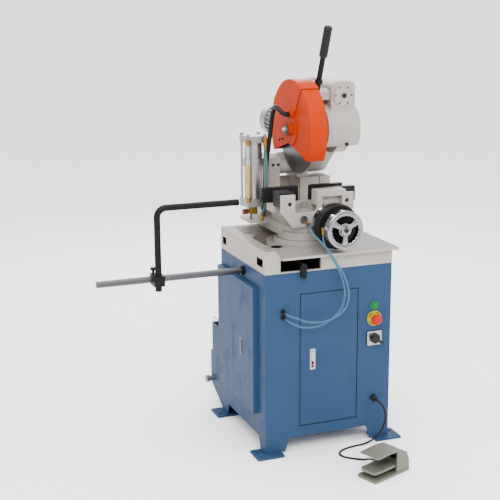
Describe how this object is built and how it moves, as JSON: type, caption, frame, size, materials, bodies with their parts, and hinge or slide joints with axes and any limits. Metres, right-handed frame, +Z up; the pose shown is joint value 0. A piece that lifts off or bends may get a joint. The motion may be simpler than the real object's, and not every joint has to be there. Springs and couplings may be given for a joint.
{
  "type": "cold saw",
  "caption": "Semi-automatic cold saw: pivoting blade head with worm gearing and folding guard on a swivel column, air vise, bar stop and tray on a sheet-metal cabinet with a foot switch.",
  "frame": {"origin": "on the floor under the swivel axis, at the centre of the anchor holes", "axes": "+X to the machine's right, +Y to the rear, +Z up"},
  "size_m": [1.139, 1.1061, 1.5939],
  "materials": {
    "cabinet_blue": "satin powder coat, slate blue",
    "cast_grey": "warm grey enamel on castings",
    "guard_orange": "gloss orange enamel",
    "black_oxide": "blackened steel",
    "black_paint": "satin black",
    "bright_steel": "turned and ground steel",
    "chrome": "polished chrome plate",
    "aluminium": "drawn and cast aluminium",
    "brass": "turned brass",
    "red_plastic": "glossy red",
    "green_plastic": "glossy green",
    "yellow_plastic": "yellow ring",
    "black_plastic": "moulded black",
    "black_rubber": "black rubber hose and grip",
    "blue_hose": "translucent pale blue tube",
    "teal_hose": "teal hose",
    "sight_glass": "clear tube with yellow oil",
    "olive_cast": "olive grey enamel"
  },
  "bodies": {
    "base": {"cabinet": "cabinet_blue", "cabinet_legs": "cabinet_blue", "foot_plates": "cabinet_blue", "door_pins": "bright_steel", "side_hinges": "bright_steel", "control_rings": "bright_steel", "estop_plate": "yellow_plastic", "cord_gland": "black_plastic", "air_bulkhead": "black_plastic", "tray": "cast_grey", "pedestal": "cast_grey", "vise_bed": "cast_grey", "fixed_jaws": "black_oxide", "stop_rod": "chrome", "coolant_tank": "cabinet_blue", "foot_switch": "olive_cast", "foot_cord": "black_rubber", "air_hoses": "blue_hose"},
    "front_door": {"front_door": "cabinet_blue", "front_latch_plate": "chrome"},
    "door_latch": {"front_latch_handle": "bright_steel"},
    "door_button": {"latch_button": "red_plastic"},
    "side_door": {"side_door": "cabinet_blue", "side_latch": "chrome"},
    "start_button": {"start_button": "green_plastic"},
    "stop_button": {"estop_button": "red_plastic"},
    "selector": {"selector_knob": "black_plastic"},
    "lock_lever": {"lock_lever": "black_paint"},
    "turntable": {"turntable": "cast_grey", "column": "cast_grey", "pivot_shaft": "bright_steel", "oil_tank": "aluminium", "tank_caps": "aluminium", "sight_tube": "sight_glass", "tank_fittings": "brass", "tank_bracket": "black_paint", "feed_hoses": "teal_hose", "coolant_hose": "black_rubber"},
    "flow_knob": {"flow_knob": "red_plastic"},
    "head": {"gear_housing": "cast_grey", "head_covers": "cast_grey", "belt_case": "cast_grey", "motor": "aluminium", "blade_guard": "guard_orange", "handle_bar": "black_plastic", "handle_grip": "black_rubber"},
    "spindle": {"spindle": "bright_steel", "blade": "bright_steel"},
    "worm": {"worm_shaft": "bright_steel"},
    "rotor": {"belt_drive": "bright_steel"},
    "swing_guard": {"swing_guard": "guard_orange"},
    "vise_carriage": {"clamp_cylinder": "black_paint"},
    "vise_jaw": {"moving_jaw": "cast_grey", "jaw_plates": "black_oxide", "piston_nose": "bright_steel"},
    "handwheel": {"handwheel": "chrome"},
    "stop_clamp": {"stop_clamp": "black_paint"},
    "stop_arm": {"stop_arm": "black_paint"},
    "chip_box": {"chip_box": "cabinet_blue"},
    "treadle": {"foot_treadle": "olive_cast"}
  },
  "joints": [
    {"name": "front_door_swing", "type": "hinge", "parent": "base", "child": "front_door", "pos_m": [0.1055, -0.234, 0.363], "axis": [0, 0, 1], "range_deg": [0, 105], "deforming": ["air_hoses"]},
    {"name": "door_latch_lift", "type": "hinge", "parent": "front_door", "child": "door_latch", "pos_m": [-0.068, -0.2395, 0.393], "axis": [-1, 0, 0], "range_deg": [0, 60]},
    {"name": "door_button_press", "type": "slide", "parent": "front_door", "child": "door_button", "axis": [0, 1, 0], "range_m": [0, 0.004], "stiffness_N_per_m": 400},
    {"name": "side_door_swing", "type": "hinge", "parent": "base", "child": "side_door", "pos_m": [-0.265, 0.235, 0.396], "axis": [0, 0, -1], "range_deg": [0, 100]},
    {"name": "start_press", "type": "slide", "parent": "base", "child": "start_button", "axis": [0, 1, 0], "range_m": [0, 0.003], "stiffness_N_per_m": 600},
    {"name": "emergency_press", "type": "slide", "parent": "base", "child": "stop_button", "axis": [0, 1, 0], "range_m": [0, 0.005]},
    {"name": "selector_turn", "type": "hinge", "parent": "base", "child": "selector", "pos_m": [0.191, -0.24, 0.418], "axis": [0, -1, 0], "range_deg": [-45, 45]},
    {"name": "lock_lever_turn", "type": "hinge", "parent": "base", "child": "lock_lever", "pos_m": [-0.118, -0.15, 0.74], "axis": [0, 0, 1], "range_deg": [-25, 25]},
    {"name": "swivel", "type": "hinge", "parent": "base", "child": "turntable", "pos_m": [0, 0, 0.8], "axis": [0, 0, 1], "range_deg": [-45, 0]},
    {"name": "flow_knob_turn", "type": "hinge", "parent": "turntable", "child": "flow_knob", "pos_m": [-0.2, 0.12, 0.876], "axis": [-1, 0, 0], "range_deg": [-270, 270]},
    {"name": "head_feed", "type": "hinge", "parent": "turntable", "child": "head", "pos_m": [0.02, 0.24, 1.035], "axis": [-1, 0, 0], "range_deg": [-31, 0], "stiffness_Nm_per_rad": 420, "springref_deg": 28.65, "deforming": ["coolant_hose"]},
    {"name": "blade_spin", "type": "hinge", "parent": "head", "child": "spindle", "pos_m": [0, 0.072, 1.197], "axis": [1, 0, 0], "continuous": true},
    {"name": "worm_spin", "type": "hinge", "parent": "head", "child": "worm", "pos_m": [0.161, 0.072, 1.327], "axis": [0, 1, 0], "continuous": true},
    {"name": "motor_spin", "type": "hinge", "parent": "head", "child": "rotor", "pos_m": [0.08, 0.3, 1.186], "axis": [0, 1, 0], "continuous": true},
    {"name": "guard_swing", "type": "hinge", "parent": "head", "child": "swing_guard", "pos_m": [0, 0.072, 1.197], "axis": [-1, 0, 0], "range_deg": [0, 53]},
    {"name": "vise_travel", "type": "slide", "parent": "base", "child": "vise_carriage", "axis": [0, -1, 0], "range_m": [-0.0451, 0.0751], "deforming": ["air_hoses"]},
    {"name": "clamp_stroke", "type": "slide", "parent": "vise_carriage", "child": "vise_jaw", "axis": [0, 1, 0], "range_m": [0, 0.008], "deforming": ["air_hoses"]},
    {"name": "handwheel_spin", "type": "hinge", "parent": "vise_carriage", "child": "handwheel", "pos_m": [0.034, -0.28, 0.866], "axis": [0, -1, 0], "range_deg": [-3240, 5400], "deforming": ["air_hoses"]},
    {"name": "stop_slide", "type": "slide", "parent": "base", "child": "stop_clamp", "axis": [1, 0, 0], "range_m": [-0.2, 0.09]},
    {"name": "stop_height", "type": "slide", "parent": "stop_clamp", "child": "stop_arm", "axis": [0, 0, 1], "range_m": [-0.04, 0.1]},
    {"name": "chip_box_lift", "type": "slide", "parent": "base", "child": "chip_box", "axis": [0, 0, 1], "range_m": [0, 0.12]},
    {"name": "treadle_press", "type": "hinge", "parent": "base", "child": "treadle", "pos_m": [0.13755, -0.51336, 0.034], "axis": [0.3584, -0.9336, 0], "range_deg": [0, 6], "stiffness_Nm_per_rad": 30, "springref_deg": -4.58}
  ],
  "couplings": [
    {"joint": "worm_spin", "follows": "blade_spin", "ratio": 36},
    {"joint": "motor_spin", "follows": "blade_spin", "ratio": 50.667},
    {"joint": "guard_swing", "follows": "head_feed", "ratio": -1.7},
    {"joint": "vise_travel", "follows": "handwheel_spin", "m_per_rad": 0.00079577}
  ]
}
